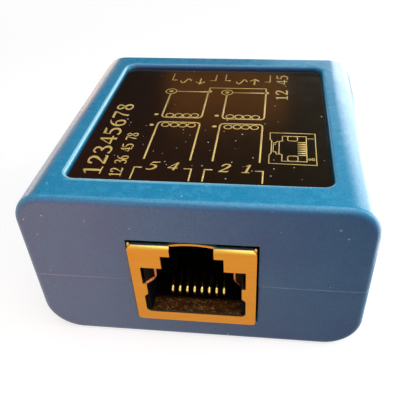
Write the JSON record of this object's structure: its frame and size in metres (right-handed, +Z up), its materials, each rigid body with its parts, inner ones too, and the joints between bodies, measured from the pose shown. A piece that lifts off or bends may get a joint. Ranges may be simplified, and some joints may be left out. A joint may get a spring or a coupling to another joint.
{
  "type": "balun",
  "caption": "Balun in a rounded blue case, with a shielded modular jack in front, coaxial bayonet sockets behind and a schematic on top.",
  "frame": {"origin": "middle of the case's underside", "axes": "+X to the right seen from the jack, +Y from the jack to the coaxial sockets, +Z up"},
  "size_m": [0.044, 0.0571, 0.0238],
  "materials": {
    "case_blue": "satin moulded",
    "plate_black": "gloss",
    "board_green": "solder mask",
    "shield_gold": "plated sheet",
    "contact_gold": "gold plated",
    "insert_black": "moulded",
    "socket_nickel": "nickel plated",
    "insulator_white": "moulded",
    "ferrite": "sintered",
    "winding_copper": "enamelled",
    "pin_tin": "tinned"
  },
  "bodies": {
    "root": {"bottom_shell": "case_blue", "circuit_board": "board_green", "jack_contact_1": "contact_gold", "jack_contact_2": "contact_gold", "jack_contact_3": "contact_gold", "jack_contact_4": "contact_gold", "jack_contact_5": "contact_gold", "jack_contact_6": "contact_gold", "jack_contact_7": "contact_gold", "jack_contact_8": "contact_gold", "jack_insert": "insert_black", "jack_shield": "shield_gold", "receive_bobbin": "insert_black", "receive_coax_winding": "winding_copper", "receive_core_back": "ferrite", "receive_core_front": "ferrite", "receive_line_winding": "winding_copper", "receive_pin_1": "pin_tin", "receive_pin_2": "pin_tin", "receive_pin_3": "pin_tin", "receive_pin_4": "pin_tin", "receive_socket_body": "socket_nickel", "receive_socket_contact": "contact_gold", "receive_socket_insulator": "insulator_white", "receive_socket_nut": "socket_nickel", "send_bobbin": "insert_black", "send_coax_winding": "winding_copper", "send_core_back": "ferrite", "send_core_front": "ferrite", "send_line_winding": "winding_copper", "send_pin_1": "pin_tin", "send_pin_2": "pin_tin", "send_pin_3": "pin_tin", "send_pin_4": "pin_tin", "send_socket_body": "socket_nickel", "send_socket_contact": "contact_gold", "send_socket_insulator": "insulator_white", "send_socket_nut": "socket_nickel", "top_plate": "plate_black", "top_shell": "case_blue"}
  },
  "joints": []
}
